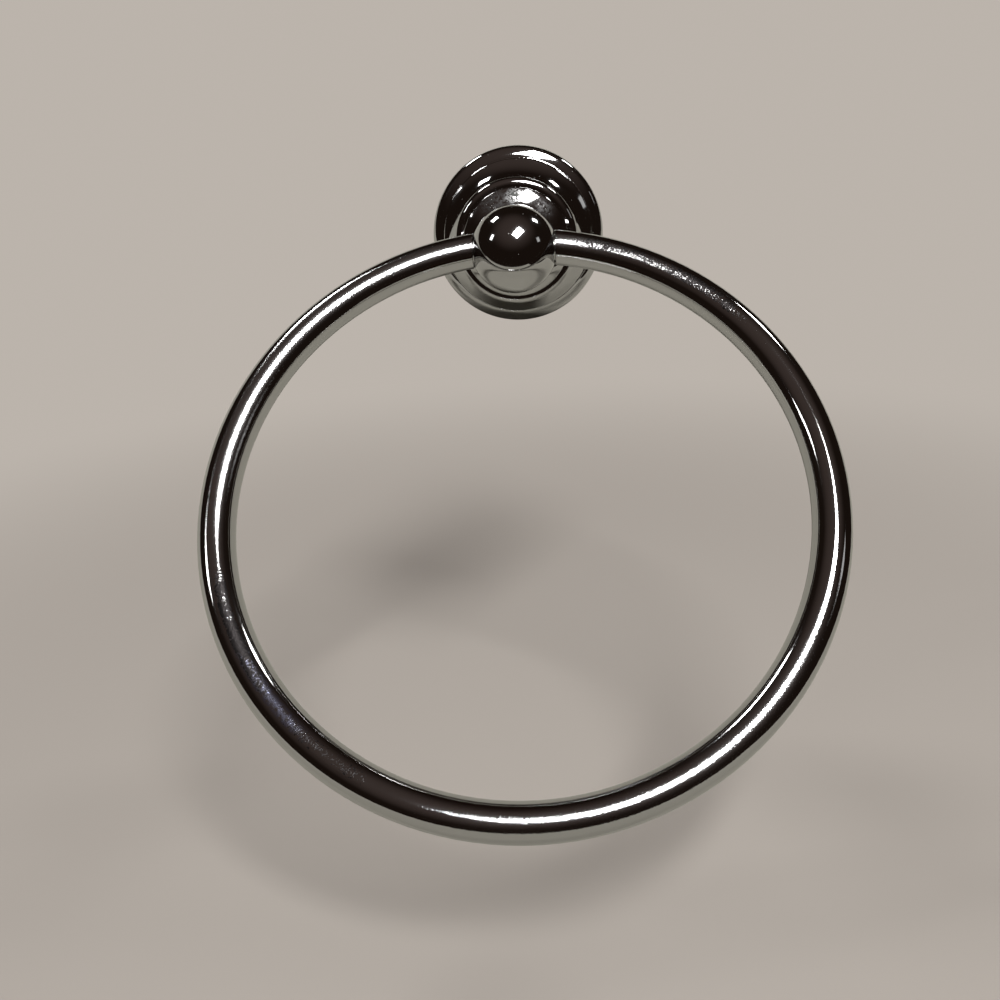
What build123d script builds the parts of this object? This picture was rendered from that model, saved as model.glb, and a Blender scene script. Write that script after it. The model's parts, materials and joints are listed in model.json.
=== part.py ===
from build123d import *
import math
import os

# Chrome towel ring on a round pedestal. Millimetres.
# The wall is the plane y = 0, the pedestal stands out of it along -Y, and +Z is up.

# Ring: a round bar bent to a circle, open inside the head, with a turned journal on each end
ring_radius = 76.4          # to the middle of the bar
bar_radius = 4.75
ring_swing = 42.2           # degrees, out from hanging straight down
journal_radius = 3.5
journal_tip = 3.0           # from the middle of the head to each journal's end
journal_play = 0.05         # all round each journal
shoulder_play = 0.3         # between each shoulder of the bar and the head
shoulder_break = 0.2

# Pedestal, from the wall outwards: rim, step, bell, collar, cap, neck and head
rim_radius = 26.7
rim_side = 8.9              # from the wall to the rounded corner
rim_edge = 0.5              # broken corner at the wall
corner_width = 1.18         # rounded corner of the rim
corner_rise = 2.18
crown_width = 2.12          # flatter band from there in to the step
crown_rise = 0.92
step_width = 0.52           # small cove up to the foot of the bell
step_rise = 0.36
step_break = 0.35
bell_slope = 33.0           # degrees up from the wall plane, at the foot
flare_width = 4.4           # the bell's flared lower part
flare_rise = 4.85
throat_width = 1.9          # and its steep upper part
throat_rise = 6.9
collar_overhang = 1.75
collar_rise = 6.1
collar_round = 2.0
cap_ledge = 0.7
cap_side = 1.5
cap_edge = 0.8
cap_rise = 2.85
neck_radius = 7.0
neck_fillet = 1.2
neck_rise = 13.94           # from the cap to the middle of the head
head_radius = 12.0

# Hollow back of the casting
rim_wall = 3.8
bell_wall = 3.2

# Wall bracket: a round plate, narrower at the wall, that the pedestal drops over
bracket_thickness = 6.0
bracket_taper = 2.0
bracket_play = 0.25
bracket_edge = 0.4
screw_spacing = 30.0
screw_hole_radius = 2.5
screw_head_radius = 4.6

# Set screw under the rim, which wedges the pedestal against the bracket's slanted edge
set_screw_radius = 2.0
set_screw_play = 0.05
set_screw_height = 3.2      # its axis, from the wall
set_screw_sink = 0.6        # its outer end, inside the rim
set_screw_tip = 0.5
set_screw_seat = 0.1        # between its point and the bracket
socket_flats = 2.0
socket_depth = 1.6

# Levels and radii that follow from those sizes
crown_radius = rim_radius - corner_width
step_radius = crown_radius - crown_width
foot_radius = step_radius - step_width
waist_radius = foot_radius - flare_width
throat_radius = waist_radius - throat_width
collar_radius = throat_radius + collar_overhang
ledge_radius = collar_radius - collar_round
cap_radius = ledge_radius - cap_ledge
crown_height = rim_side + corner_rise
rim_height = crown_height + crown_rise
foot_height = rim_height + step_rise
waist_height = foot_height + flare_rise
bell_height = waist_height + throat_rise
collar_height = bell_height + collar_rise
cap_height = collar_height + cap_side + cap_rise
head_reach = cap_height + neck_rise
rim_bore_radius = rim_radius - rim_wall
flat_reach = math.sqrt(head_radius**2 - bar_radius**2)
shoulder_reach = flat_reach + shoulder_play
ring_drop = math.sqrt(ring_radius**2 - shoulder_reach**2)
bracket_front_radius = rim_bore_radius - bracket_play
bracket_back_radius = bracket_front_radius - bracket_taper


def at(radius, height):
    """A point of a turned outline: radius from the pedestal's axis, height from the wall."""
    return (radius, -height)


def corner(outline, radius, height):
    """The vertex of a turned outline nearest to a point."""
    return outline.vertices().sort_by_distance((radius, -height, 0))[0]


def pedestal_outline():
    """Half of the pedestal's section, up to the middle of the head."""
    slope = math.radians(bell_slope)
    with BuildSketch() as section:
        with BuildLine():
            Polyline(
                at(0, head_reach),
                at(0, 0),
                at(rim_radius - rim_edge, 0),
                at(rim_radius, rim_edge),
                at(rim_radius, rim_side),
            )
            rounded = TangentArc(
                at(rim_radius, rim_side),
                at(crown_radius, crown_height),
                tangent=(0, -1),
            )
            TangentArc(
                at(crown_radius, crown_height),
                at(step_radius, rim_height),
                tangent=rounded % 1,
            )
            TangentArc(
                at(step_radius, rim_height),
                at(foot_radius, foot_height),
                tangent=(-1, 0),
            )
            flare = TangentArc(
                at(foot_radius, foot_height),
                at(waist_radius, waist_height),
                tangent=(-math.cos(slope), -math.sin(slope)),
            )
            TangentArc(
                at(waist_radius, waist_height),
                at(throat_radius, bell_height),
                tangent=flare % 1,
            )
            Polyline(
                at(throat_radius, bell_height),
                at(collar_radius, bell_height),
                at(collar_radius, collar_height - collar_round),
            )
            TangentArc(
                at(collar_radius, collar_height - collar_round),
                at(ledge_radius, collar_height),
                tangent=(0, -1),
            )
            Polyline(
                at(ledge_radius, collar_height),
                at(cap_radius, collar_height),
                at(cap_radius, collar_height + cap_side),
            )
            TangentArc(
                at(neck_radius, cap_height),
                at(cap_radius, collar_height + cap_side),
                tangent=(1, 0),
            )
            Polyline(
                at(neck_radius, cap_height),
                at(neck_radius, head_reach),
                at(0, head_reach),
            )
        make_face()
        fillet(corner(section, foot_radius, foot_height), step_break)
        fillet(corner(section, cap_radius, collar_height + cap_side), cap_edge)
        fillet(corner(section, neck_radius, cap_height), neck_fillet)
    return section.sketch


def hollow_outline():
    """Half of the section of the hollow in the pedestal's back."""
    bell_floor = rim_height - bell_wall
    points = [
        at(0, 0),
        at(rim_bore_radius, 0),
        at(rim_bore_radius, bell_floor),
        at(foot_radius - bell_wall, bell_floor),
        at(waist_radius - bell_wall, waist_height - bell_wall / 2),
        at(throat_radius - bell_wall, bell_height),
        at(cap_radius - bell_wall, collar_height - bell_wall),
        at(0, collar_height - bell_wall),
    ]
    return make_face(Polyline(*points, close=True))


def make_pedestal():
    """Hollow turned casting with a ball head, bored across for the ring."""
    head_place = Pos(0, -head_reach, 0)
    body = revolve(pedestal_outline(), Axis.Y) + head_place * Sphere(head_radius, rotation=(0, 90, 0))
    body -= revolve(hollow_outline(), Axis.Y)
    for side in (-1, 1):
        beyond = Box(head_radius, 2 * head_radius, 2 * head_radius)
        body -= head_place * Pos(side * (flat_reach + head_radius / 2), 0, 0) * beyond
    bore = Cylinder(journal_radius + journal_play, 2 * head_radius, rotation=(0, 90, 0))
    body -= head_place * bore
    screw_hole = Cylinder(
        set_screw_radius + set_screw_play,
        2 * rim_wall,
        align=(Align.CENTER, Align.CENTER, Align.MIN),
    )
    body -= Pos(0, -set_screw_height, -rim_radius - rim_wall / 2) * screw_hole
    return body


def make_ring():
    """The bent bar, built hanging from the hinge axis at the origin and then swung out."""
    bar = Pos(0, 0, -ring_drop) * Torus(ring_radius, bar_radius, rotation=(90, 0, 0))
    gap = Box(2 * shoulder_reach, 4 * bar_radius, 4 * bar_radius)
    bar -= gap
    shoulders = bar.faces().filter_by(GeomType.PLANE)
    bar = chamfer(shoulders.edges(), shoulder_break)
    length = shoulder_reach - journal_tip + bar_radius / 2
    for side in (-1, 1):
        journal = Cylinder(journal_radius, length, rotation=(0, 90, 0))
        bar += Pos(side * (journal_tip + length / 2), 0, 0) * journal
    return Pos(0, -head_reach, 0) * Rot(-ring_swing, 0, 0) * bar


def make_wall_bracket():
    """Round plate with a slanted edge and two countersunk screw holes, one above the other."""
    plate = Cone(
        bracket_back_radius,
        bracket_front_radius,
        bracket_thickness,
        rotation=(90, 0, 0),
        align=(Align.CENTER, Align.CENTER, Align.MIN),
    )
    front_edge = plate.edges().sort_by(Axis.Y)[0]
    plate = chamfer(front_edge, bracket_edge)
    for side in (-1, 1):
        place = Pos(0, -bracket_thickness, side * screw_spacing / 2) * Rot(90, 0, 0)
        plate -= place * CounterSinkHole(screw_hole_radius, screw_head_radius, 2 * bracket_thickness)
    return plate


def make_set_screw():
    """Headless screw with a hexagon socket, pointing up at the bracket's edge."""
    slope = bracket_taper / bracket_thickness
    edge_radius = bracket_back_radius + slope * (set_screw_height + set_screw_tip)
    point = edge_radius + set_screw_seat
    end = rim_radius - set_screw_sink
    shoulder = point + set_screw_radius - set_screw_tip
    half = Polyline(
        (0, -end),
        (set_screw_radius, -end),
        (set_screw_radius, -shoulder),
        (set_screw_tip, -point),
        (0, -point),
        close=True,
    )
    screw = revolve(Plane.XZ * make_face(half), Axis.Z)
    socket = RegularPolygon(socket_flats / 2, 6, major_radius=False)
    screw -= Pos(0, 0, -end) * extrude(socket, socket_depth)
    return Pos(0, -set_screw_height, 0) * screw


nodes = {
    "pedestal": make_pedestal(),
    "ring": make_ring(),
    "wall_bracket": make_wall_bracket(),
    "set_screw": make_set_screw(),
}

os.makedirs("parts", exist_ok=True)
for name, solid in nodes.items():
    export_step(solid, f"parts/{name}.step")
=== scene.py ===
import json
import math
import bpy
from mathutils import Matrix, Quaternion, Vector


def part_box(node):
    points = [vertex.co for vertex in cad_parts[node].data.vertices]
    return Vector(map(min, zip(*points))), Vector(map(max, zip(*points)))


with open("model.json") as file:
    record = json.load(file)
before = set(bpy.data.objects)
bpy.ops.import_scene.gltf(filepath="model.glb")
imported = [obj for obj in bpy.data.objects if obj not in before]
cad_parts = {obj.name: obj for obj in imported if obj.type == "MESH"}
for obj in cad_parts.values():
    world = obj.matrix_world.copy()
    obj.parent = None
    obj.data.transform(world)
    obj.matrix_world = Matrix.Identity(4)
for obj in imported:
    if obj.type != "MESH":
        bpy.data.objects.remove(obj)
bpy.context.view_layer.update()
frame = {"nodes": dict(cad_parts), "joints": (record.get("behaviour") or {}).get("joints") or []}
nodes = frame["nodes"]
hinge = Vector(frame["joints"][0]["pos_m"])  # middle of the ball head
print("frame:", ", ".join(sorted(nodes)))


class Wire:  # a node socket that Python expressions can use
    def __init__(self, tree, socket=None):
        self.tree = tree
        self.socket = socket

    def node(self, kind, settings=None, sockets=None, out=0):
        made = self.tree.nodes.new(kind)
        for name, value in (settings or {}).items():
            setattr(made, name, value)
        for name, value in (sockets or {}).items():
            if isinstance(value, Wire):
                self.tree.links.new(value.socket, made.inputs[name])
            else:
                made.inputs[name].default_value = value
        return Wire(self.tree, made.outputs[out] if made.outputs else None)

    def maths(self, operation, first, second=0.0):
        return self.node("ShaderNodeMath", {"operation": operation}, {0: first, 1: second})

    def vector(self, operation, first, second=(0, 0, 0), out=0):  # out 1 where it gives a number
        return self.node("ShaderNodeVectorMath", {"operation": operation}, {0: first, 1: second}, out)

    def __add__(self, other):
        return self.maths("ADD", self, other)

    def __sub__(self, other):
        return self.maths("SUBTRACT", self, other)

    def __rsub__(self, other):
        return self.maths("SUBTRACT", other, self)

    def __mul__(self, other):
        return self.maths("MULTIPLY", self, other)

    def __truediv__(self, other):
        return self.maths("DIVIDE", self, other)

    def __rtruediv__(self, other):
        return self.maths("DIVIDE", other, self)

    def __gt__(self, other):
        return self.maths("GREATER_THAN", self, other)

    def __lt__(self, other):
        return self.maths("LESS_THAN", self, other)

    def __abs__(self):
        return self.maths("ABSOLUTE", self)

    __radd__ = __add__
    __rmul__ = __mul__

    def ramp(self, low, high, bottom=0.0):  # smooth step from bottom at low to 1 at high
        return self.node("ShaderNodeMapRange", {"interpolation_type": "SMOOTHSTEP"},
                         {"Value": self, "From Min": low, "From Max": high, "To Min": bottom})

    def tint(self, none, full):  # from one colour to another, by this value; 6, 7 and 2 are the colours
        return self.node("ShaderNodeMix", {"data_type": "RGBA"}, {0: self, 6: none, 7: full}, 2)


def newMaterial(name):
    material = bpy.data.materials.new(name)
    material.use_nodes = True
    material.node_tree.nodes.clear()
    wire = Wire(material.node_tree)
    return material, wire, wire.node("ShaderNodeTexCoord", out=3)  # 3 is Object


def finishMaterial(wire, shader):
    wire.node("ShaderNodeOutputMaterial", sockets={"Surface": shader})


def dress(node, material):
    for slot in nodes[node].material_slots:
        slot.material = material
    print("material:", node)


def grain(wire, place, size, detail=3.0):
    return wire.node("ShaderNodeTexNoise", sockets={"Vector": place, "Scale": 1 / size, "Detail": detail})


def specks(wire, place, size, share, edge):  # round spots in a share of the cells, 0 to 1
    cell = {"Vector": place, "Scale": 1 / size}
    distance = wire.node("ShaderNodeTexVoronoi", sockets=cell)
    colour = wire.node("ShaderNodeTexVoronoi", sockets=cell, out=1)
    pick = wire.node("ShaderNodeSeparateColor", sockets={"Color": colour})
    chosen = share > pick
    return chosen * distance.ramp(*edge)


chromeFinish = {
    "plate": (0.56, 0.555, 0.555, 1),
    "haze": 0.03,  # roughness where it is clouded
    "cloudSize": 0.02,
    "cloudRange": (0.4, 0.7),
}


def clouding(wire, place):
    cloud = grain(wire, place, chromeFinish["cloudSize"]).ramp(*chromeFinish["cloudRange"])
    return cloud * chromeFinish["haze"]


# a patch: degrees round from the head towards +X, half its length in degrees,
# strip across the bar from -1 inside to 1 outside, half its width, strength
ringWear = {
    "barRadius": 0.00475,
    "polish": 0.05,
    "patchCore": (0.5, 0.6),  # shares of its half length and half width at full strength
    "fineDetail": 2.0,  # of the grain in pits and rubbing
    "pitted": [
        (31, 24, -0.08, 0.42, 0.9),
        (50, 14, -0.12, 0.32, 0.25),
        (-116, 17, -0.20, 0.38, 1.35),
        (-142, 14, -0.14, 0.38, 0.65),
        (-62, 12, -0.25, 0.45, 0.30),
        (150, 14, 0.0, 0.80, 0.30),
    ],
    "pitFront": (0.6, 0.85),  # how far forward on the bar they begin and are full, in its radii
    "pitColour": (0.03, 0.027, 0.027, 1),
    "pitSize": (0.00042, 0.00050),  # along the bar, across it
    "pitDepth": 0.15,  # of its length
    "pitLevel": (0.2, 0.46),  # grain lower than this is a pit: anywhere, and more where worn
    "pitEdge": 0.05,
    "pitHaze": 0.25,
    "clusterSize": 0.004,
    "clusterRange": (0.35, 0.6),
    "clusterLow": 0.6,  # strength between the clusters
    "rubbed": [
        (-38, 76, -0.20, 0.65, 1.0),
        (153, 56, 0.05, 0.60, 0.8),
        (26, 22, -0.12, 0.45, 0.6),
    ],
    "rubFront": (0.0, 0.5),
    "rub": (0.00025, 0.0006, 0.000050),  # fine ripple: length along the bar, across it, height
    "rubHaze": 0.09,
    # a hazy film patch low on the left; the blue of its colour is a painted bluish reflection, the haze is
    # real
    "filmAndBlueSheen": [(-129, 13, -0.18, 0.42, 0.42)],
    "paintedBlueReflection": (0.24, 0.29, 0.66, 1),
    "filmSize": 0.0012,
    "filmRange": (0.25, 0.6),
    "filmHaze": 0.22,
}


def ringChrome():
    material, wire, place = newMaterial("ringChrome")
    low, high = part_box("ring")
    bar = ringWear["barRadius"]
    reach = Vector((0, low.y + bar - hinge.y, low.z + bar - hinge.z))  # from the hinge to the far side
    hang = reach.normalized()
    sideways = Vector((1, 0, 0))
    ringRadius = high.x - bar  # to the middle of the bar
    spoke = wire.vector("SUBTRACT", place, hinge + hang * (reach.length - ringRadius))
    across = wire.vector("DOT_PRODUCT", spoke, sideways, 1)
    up = wire.vector("DOT_PRODUCT", spoke, -hang, 1)
    front = wire.vector("DOT_PRODUCT", spoke, hang.cross(sideways), 1)
    turn = wire.maths("ARCTAN2", across, up) * (180 / math.pi)
    radius = wire.maths("SQRT", across * across + up * up)
    outward = (radius - ringRadius) / bar
    forward = front / bar

    def patches(kind):
        lengthCore, widthCore = ringWear["patchCore"]
        total = 0.0
        for middle, length, strip, width, strength in ringWear[kind]:
            apart = 180 - abs(abs(turn - middle) - 180)  # the shorter way round
            here = apart.ramp(length, length * lengthCore)
            here = here * abs(outward - strip).ramp(width, width * widthCore)
            total = here * strength + total
        return total

    def unrolled(along, over):  # grain along and across the bar
        flat = wire.node("ShaderNodeCombineXYZ", sockets={
            "X": turn * (math.pi / 180 * ringRadius / along),
            "Y": radius / over,
            "Z": front / over,
        })
        return grain(wire, flat, 1.0, ringWear["fineDetail"])

    clusters = grain(wire, place, ringWear["clusterSize"])
    clusters = clusters.ramp(*ringWear["clusterRange"], ringWear["clusterLow"])
    worn = patches("pitted") * clusters * forward.ramp(*ringWear["pitFront"])
    rubbed = patches("rubbed") * forward.ramp(*ringWear["rubFront"])
    filmAndBlueSheen = patches("filmAndBlueSheen") * grain(wire, place, ringWear["filmSize"]).ramp(*ringWear["filmRange"])
    pitAlong, pitOver = ringWear["pitSize"]
    facets = unrolled(pitAlong, pitOver)
    anywhere, more = ringWear["pitLevel"]
    pits = (worn * more + anywhere - facets).ramp(0.0, ringWear["pitEdge"])
    bump = wire.node("ShaderNodeBump", sockets={
        "Strength": 1.0, "Distance": pitAlong * ringWear["pitDepth"], "Height": facets * worn})
    rubAlong, rubOver, rubHeight = ringWear["rub"]
    ripple = unrolled(rubAlong, rubOver) * rubbed
    bump = wire.node("ShaderNodeBump", sockets={
        "Strength": 1.0, "Distance": rubHeight, "Height": ripple, "Normal": bump})
    # the blue tint in the film patch is a painted bluish reflection
    plate = filmAndBlueSheen.tint(chromeFinish["plate"], ringWear["paintedBlueReflection"])
    haze = rubbed * ringWear["rubHaze"] + filmAndBlueSheen * ringWear["filmHaze"] + pits * ringWear["pitHaze"]
    shader = wire.node("ShaderNodeBsdfPrincipled", sockets={
        "Base Color": pits.tint(plate, ringWear["pitColour"]),
        "Metallic": 1.0,
        "Roughness": clouding(wire, place) + haze + ringWear["polish"],
        "Normal": bump,
    })
    finishMaterial(wire, shader)
    return material


pedestalWear = {
    "polish": 0.055,
    "smudges": [  # across from the axis, out from the wall, up; radius; strength
        ((0.0, -0.0335, 0.0136), 0.0034, 1.15),
        ((0.0088, -0.0335, 0.0092), 0.0038, 0.42),
        ((-0.006, -0.0335, 0.0120), 0.0055, 0.45),
    ],
    "smudgeCore": 0.3,  # share of its radius at full strength
    "mottleSize": 0.0007,
    "mottleRange": (0.35, 0.55),
    "smear": (0.058, 0.060, 0.056, 1),
    "smudgeHaze": 0.38,
    "smudgeDull": 0.12,  # how much less metallic
    "deposit": (0.62, 0.60, 0.57, 1),  # dried water marks
    "speckSize": 0.0005,
    "speckShare": (0.012, 0.35),  # of the cells: anywhere, and more in a smudge
    "speckEdge": (0.26, 0.156),
    "speckHaze": 0.35,
    "speckDull": 0.5,
}


def pedestalChrome():
    material, wire, place = newMaterial("pedestalChrome")
    mottle = grain(wire, place, pedestalWear["mottleSize"]).ramp(*pedestalWear["mottleRange"])
    smudge = 0.0
    for spot, radius, strength in pedestalWear["smudges"]:
        apart = wire.vector("DISTANCE", place, spot, 1)
        smudge = apart.ramp(radius, radius * pedestalWear["smudgeCore"]) * strength + smudge
    smudge = smudge * mottle
    anywhere, more = pedestalWear["speckShare"]
    share = smudge * more + anywhere
    marks = specks(wire, place, pedestalWear["speckSize"], share, pedestalWear["speckEdge"])
    plate = smudge.tint(chromeFinish["plate"], pedestalWear["smear"])
    haze = smudge * pedestalWear["smudgeHaze"] + marks * pedestalWear["speckHaze"]
    shader = wire.node("ShaderNodeBsdfPrincipled", sockets={
        "Base Color": marks.tint(plate, pedestalWear["deposit"]),
        "Metallic": 1 - marks * pedestalWear["speckDull"] - smudge * pedestalWear["smudgeDull"],
        "Roughness": clouding(wire, place) + haze + pedestalWear["polish"],
    })
    finishMaterial(wire, shader)
    return material


zincFinish = {
    "dull": (0.40, 0.41, 0.42, 1),
    "bright": (0.58, 0.585, 0.58, 1),
    "spangle": 0.003,
    "spangleShare": 0.35,  # of the tone; the scratches make the rest
    "scratch": 0.0004,
    "stretch": (0.06, 1, 1),  # scratches run along X
    "scratchDepth": 0.0001,
    "scratchStrength": 0.25,
    "roughness": (0.28, 0.2),  # least, and more where the tone is bright
}


def bracketZinc():
    material, wire, place = newMaterial("bracketZinc")
    cells = wire.node("ShaderNodeTexVoronoi", sockets={
        "Vector": place, "Scale": 1 / zincFinish["spangle"]}, out=1)
    spangle = wire.node("ShaderNodeSeparateColor", sockets={"Color": cells})
    streak = wire.node("ShaderNodeMapping", sockets={"Vector": place, "Scale": zincFinish["stretch"]})
    lines = grain(wire, streak, zincFinish["scratch"])
    share = zincFinish["spangleShare"]
    tone = spangle * share + lines * (1 - share)
    bump = wire.node("ShaderNodeBump", sockets={
        "Strength": zincFinish["scratchStrength"], "Distance": zincFinish["scratchDepth"], "Height": lines})
    least, more = zincFinish["roughness"]
    shader = wire.node("ShaderNodeBsdfPrincipled", sockets={
        "Base Color": tone.tint(zincFinish["dull"], zincFinish["bright"]),
        "Metallic": 1.0,
        "Roughness": tone * more + least,
        "Normal": bump,
    })
    finishMaterial(wire, shader)
    return material


screwFinish = {
    "black": (0.035, 0.035, 0.04, 1),
    "rubbed": (0.16, 0.155, 0.15, 1),
    "mottle": 0.0006,
    "mottleRange": (0.5, 0.75),
    "metal": 0.9,
    "roughness": (0.5, 0.2),  # where black, and how much less where rubbed
}


def screwSteel():
    material, wire, place = newMaterial("screwSteel")
    rubbed = grain(wire, place, screwFinish["mottle"]).ramp(*screwFinish["mottleRange"])
    most, less = screwFinish["roughness"]
    shader = wire.node("ShaderNodeBsdfPrincipled", sockets={
        "Base Color": rubbed.tint(screwFinish["black"], screwFinish["rubbed"]),
        "Metallic": screwFinish["metal"],
        "Roughness": most - rubbed * less,
    })
    finishMaterial(wire, shader)
    return material


dress("ring", ringChrome())
dress("pedestal", pedestalChrome())
dress("wall_bracket", bracketZinc())
dress("set_screw", screwSteel())

floorSettings = {
    "height": -0.165,  # just under the ring when it hangs straight down
    "radius": 1.2,
    "sides": 96,
    "fade": (0.18, 0.55),  # the floor runs into the background between these radii
    "colour": (0.50, 0.455, 0.41, 1),  # of the background too
}


def layFloor():
    bpy.ops.mesh.primitive_circle_add(vertices=floorSettings["sides"], radius=floorSettings["radius"],
                                      fill_type="NGON", location=(0, hinge.y, floorSettings["height"]))
    floor = bpy.context.object
    floor.name = "floor"
    floor.visible_glossy = False  # the chrome shows the cards and the room instead
    material, wire, place = newMaterial("floorGrey")
    away = wire.vector("LENGTH", place, out=1).ramp(*floorSettings["fade"])
    matt = wire.node("ShaderNodeBsdfDiffuse", sockets={"Color": floorSettings["colour"]})
    plain = wire.node("ShaderNodeEmission", sockets={"Color": floorSettings["colour"]})
    finishMaterial(wire, wire.node("ShaderNodeMixShader", sockets={0: away, 1: matt, 2: plain}))
    floor.data.materials.append(material)
    print("floor laid")


roomSettings = {
    "up": Vector((0, -0.55, 0.835)).normalized(),
    "wall": (0.013, 0.0082, 0.006, 1),
    "ceiling": (0.060, 0.044, 0.038, 1),
    "glow": (0.50, 1.0),  # how far up the ceiling begins, and where it is brightest
}


def lightRoom():
    world = bpy.data.worlds.new("room")
    bpy.context.scene.world = world
    world.use_nodes = True
    world.node_tree.nodes.clear()
    wire = Wire(world.node_tree)
    toward = wire.node("ShaderNodeTexCoord")
    rise = wire.vector("DOT_PRODUCT", toward, roomSettings["up"], 1)
    room = rise.ramp(*roomSettings["glow"]).tint(roomSettings["wall"], roomSettings["ceiling"])
    direct = wire.node("ShaderNodeLightPath")  # 0 is Is Camera Ray
    shown = direct.tint(room, floorSettings["colour"])
    light = wire.node("ShaderNodeBackground", sockets={"Color": shown})
    wire.node("ShaderNodeOutputWorld", sockets={"Surface": light})
    print("room lit")


cardSettings = {
    "touch": 0.0095,  # how far out from the wall the leaning card meets the rim
    "gap": 0.0003,  # between it and the rim
    "slope": 33.5,  # degrees, down from the rim to the far side of the ring
    "lip": (22, 0.060),  # past the ring it turns up: degrees, length
    "far": 0.60,
    "left": 0.70,
    "right": 0.14,
    "under": (-0.45, 1.20, -0.163),  # a level card below it: left end, far end and height
    "shaded": (0.365, 0.352, 0.300, 1),  # under the ring
    "colour": (0.43, 0.416, 0.364, 1),
    "shade": (0.09, 0.22),  # it runs from one to the other between these distances
}


def cardGrey():
    material, wire, place = newMaterial("cardGrey")
    low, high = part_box("ring")
    away = wire.vector("DISTANCE", place, (low + high) / 2, 1).ramp(*cardSettings["shade"])
    matt = wire.node("ShaderNodeBsdfDiffuse", sockets={
        "Color": away.tint(cardSettings["shaded"], cardSettings["colour"])})
    clear = wire.node("ShaderNodeBsdfTransparent")
    behind = wire.node("ShaderNodeNewGeometry", out=6)  # 6 is Backfacing
    finishMaterial(wire, wire.node("ShaderNodeMixShader", sockets={0: behind, 1: matt, 2: clear}))
    return material


def setCard(name, corners, material):  # seen only in the chrome, and only from above
    mesh = bpy.data.meshes.new(name)
    mesh.from_pydata(corners, [], [(0, 1, 2, 3)])
    mesh.materials.append(material)
    card = bpy.data.objects.new(name, mesh)
    bpy.context.scene.collection.objects.link(card)
    card.visible_camera = False
    card.visible_diffuse = False
    card.visible_shadow = False
    print("card:", name)


def slopeDown(degrees):  # a step out from the wall and down
    angle = math.radians(degrees)
    return Vector((0, -math.cos(angle), -math.sin(angle)))


def setCards():
    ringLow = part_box("ring")[0]
    ringEnd = Vector((0, ringLow.y, ringLow.z))
    down = slopeDown(cardSettings["slope"])
    touch = Vector((0, -cardSettings["touch"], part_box("pedestal")[0].z - cardSettings["gap"]))
    near = touch + down * (ringEnd - touch).dot(down)
    turnedUp, lipLength = cardSettings["lip"]
    lip = near + slopeDown(cardSettings["slope"] - turnedUp) * lipLength
    far = touch - down * cardSettings["far"]
    left = Vector((-cardSettings["left"], 0, 0))
    right = Vector((cardSettings["right"], 0, 0))
    grey = cardGrey()
    setCard("leaningCard", [near + left, near + right, far + right, far + left], grey)
    setCard("lipCard", [lip + left, lip + right, near + right, near + left], grey)
    leftEnd, farEnd, height = cardSettings["under"]
    setCard("lowCard", [(leftEnd, lip.y, height), (right.x, lip.y, height),
                        (right.x, farEnd, height), (leftEnd, farEnd, height)], grey)


lampSettings = {
    "distance": 2.2,
    "lamps": [  # name, direction from the head, width and height for a metre of distance, turn, brightness
        ("overhead", (0.205, -0.640, 0.741), (0.29, 0.48), -52, 21.5),
        ("backLeft", (-0.520, 0.330, 0.790), (0.16, 0.20), 45, 16.0),
        ("backRight", (0.605, 0.325, 0.728), (0.13, 0.15), 0, 14.0),
        ("frontLeft", (-0.805, -0.320, 0.500), (0.10, 0.20), 0, 8.0),
        ("frontRight", (0.905, -0.262, 0.335), (0.15, 0.17), 0, 0.6),
    ],
}


def hangLamps():
    for name, toward, size, turn, level in lampSettings["lamps"]:
        data = bpy.data.lights.new(name, "AREA")
        data.shape = "RECTANGLE"
        data.size, data.size_y = (side * lampSettings["distance"] for side in size)
        data.energy = level * math.pi * data.size * data.size_y
        lamp = bpy.data.objects.new(name, data)
        bpy.context.scene.collection.objects.link(lamp)
        direction = Vector(toward).normalized()
        lamp.location = hinge + direction * lampSettings["distance"]
        spin = Quaternion((0, 0, 1), math.radians(turn))
        lamp.rotation_mode = "QUATERNION"
        lamp.rotation_quaternion = direction.to_track_quat("Z", "Y") @ spin
        lamp.visible_camera = False
    print("lamps:", len(lampSettings["lamps"]))


cameraSettings = {
    "place": (0.00949, -0.32915, 0.03041),
    "toward": (-0.0573, 0.9354, -0.3490),
    "roll": -3.05,  # degrees
    "lens": 35.43,  # millimetres, as the sensor
    "sensor": 36,
    "clipStart": 0.01,
}


def placeCamera():
    data = bpy.data.cameras.new("camera")
    data.lens = cameraSettings["lens"]
    data.sensor_width = cameraSettings["sensor"]
    data.clip_start = cameraSettings["clipStart"]
    camera = bpy.data.objects.new("camera", data)
    bpy.context.scene.collection.objects.link(camera)
    camera.location = cameraSettings["place"]
    level = Vector(cameraSettings["toward"]).to_track_quat("-Z", "Y")
    roll = Quaternion((0, 0, 1), math.radians(cameraSettings["roll"]))
    camera.rotation_mode = "QUATERNION"
    camera.rotation_quaternion = level @ roll
    bpy.context.scene.camera = camera
    print("camera placed")


layFloor()
lightRoom()
setCards()
hangLamps()
placeCamera()
bpy.context.scene.view_settings.view_transform = "Standard"
